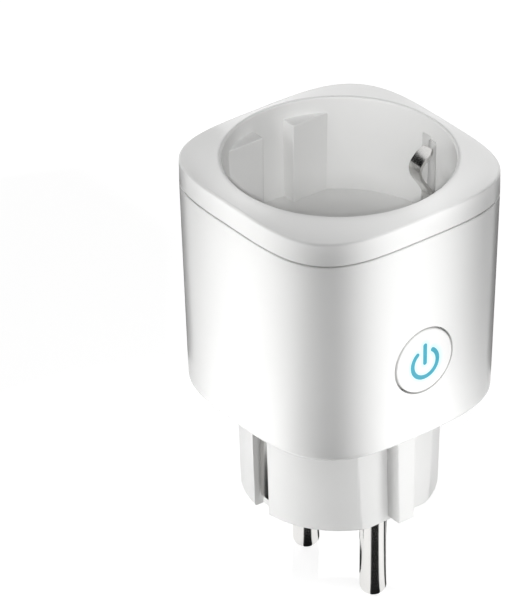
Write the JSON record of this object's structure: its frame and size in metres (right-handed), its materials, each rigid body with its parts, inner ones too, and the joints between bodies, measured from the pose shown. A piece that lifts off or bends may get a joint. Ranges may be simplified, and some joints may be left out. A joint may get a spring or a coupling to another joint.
{
  "type": "smart plug",
  "caption": "Rounded-square white mains adapter that switches by radio: round side-earthed plug below, recessed socket with sprung earth clips above, lit push button on the front.",
  "frame": {"origin": "centre of the plug face, between the two pins", "axes": "+Z out of the socket, the pins point along -Z and stand apart along Y, the push button faces -Y, the earth contacts face -X and +X"},
  "size_m": [0.0464, 0.0464, 0.0845],
  "materials": {
    "white_shell": "moulded gloss",
    "plug_moulding": "moulded gloss",
    "button_cap": "moulded gloss",
    "light_guide": "clear",
    "nickel_plate": "bright plated",
    "spring_brass": "stamped",
    "rivet_brass": "plain",
    "screw_steel": "zinc plated",
    "green_laminate": "solder mask",
    "blue_laminate": "solder mask",
    "tinned_can": "tinned",
    "black_moulding": "moulded",
    "red_moulding": "moulded",
    "lamp_lens": "clear",
    "yellow_box": "moulded",
    "black_sleeve": "shrunk sleeve",
    "blue_sleeve": "shrunk sleeve",
    "ferrite": "sintered",
    "blue_epoxy": "dipped",
    "grey_blue_lacquer": "lacquered"
  },
  "bodies": {
    "plug_body": {"housing": "white_shell", "socket_cover": "white_shell", "plug_base": "plug_moulding", "live_pin": "nickel_plate", "neutral_pin": "nickel_plate", "earth_strap_left": "nickel_plate", "earth_strap_right": "nickel_plate", "earth_bridge": "spring_brass", "live_contact": "spring_brass", "neutral_contact": "spring_brass", "clip_rivet_left": "rivet_brass", "clip_rivet_right": "rivet_brass", "cover_screw_front_left": "screw_steel", "cover_screw_front_right": "screw_steel", "cover_screw_back_left": "screw_steel", "cover_screw_back_right": "screw_steel", "main_board": "green_laminate", "switch_board": "green_laminate", "wifi_board": "blue_laminate", "wifi_shield": "tinned_can", "tact_switch": "black_moulding", "status_led": "lamp_lens", "relay": "black_moulding", "film_capacitor": "yellow_box", "bulk_capacitor": "black_sleeve", "filter_capacitor": "blue_sleeve", "drum_inductor": "ferrite", "bridge_rectifier": "black_moulding", "converter_chip": "black_moulding", "varistor": "blue_epoxy", "fuse_resistor": "grey_blue_lacquer"},
    "button": {"power_button": "button_cap", "button_light_guide": "light_guide"},
    "plunger": {"switch_plunger": "red_moulding"},
    "clip_left": {"earth_clip_left": "nickel_plate"},
    "clip_right": {"earth_clip_right": "nickel_plate"}
  },
  "joints": [
    {"name": "power_button_press", "type": "slide", "parent": "plug_body", "child": "button", "axis": [0, 1, 0], "range_m": [0, 0.0005], "stiffness_N_per_m": 3200},
    {"name": "switch_plunger_press", "type": "slide", "parent": "plug_body", "child": "plunger", "axis": [0, 1, 0], "range_m": [0, 0.0007]},
    {"name": "earth_clip_left_flex", "type": "hinge", "parent": "plug_body", "child": "clip_left", "pos_m": [-0.01983, 0, 0.04247], "axis": [0, -1, 0], "range_deg": [0, 4], "stiffness_Nm_per_rad": 1.2},
    {"name": "earth_clip_right_flex", "type": "hinge", "parent": "plug_body", "child": "clip_right", "pos_m": [0.01983, 0, 0.04247], "axis": [0, 1, 0], "range_deg": [0, 4], "stiffness_Nm_per_rad": 1.2}
  ],
  "couplings": [
    {"joint": "switch_plunger_press", "follows": "power_button_press", "ratio": 1}
  ]
}
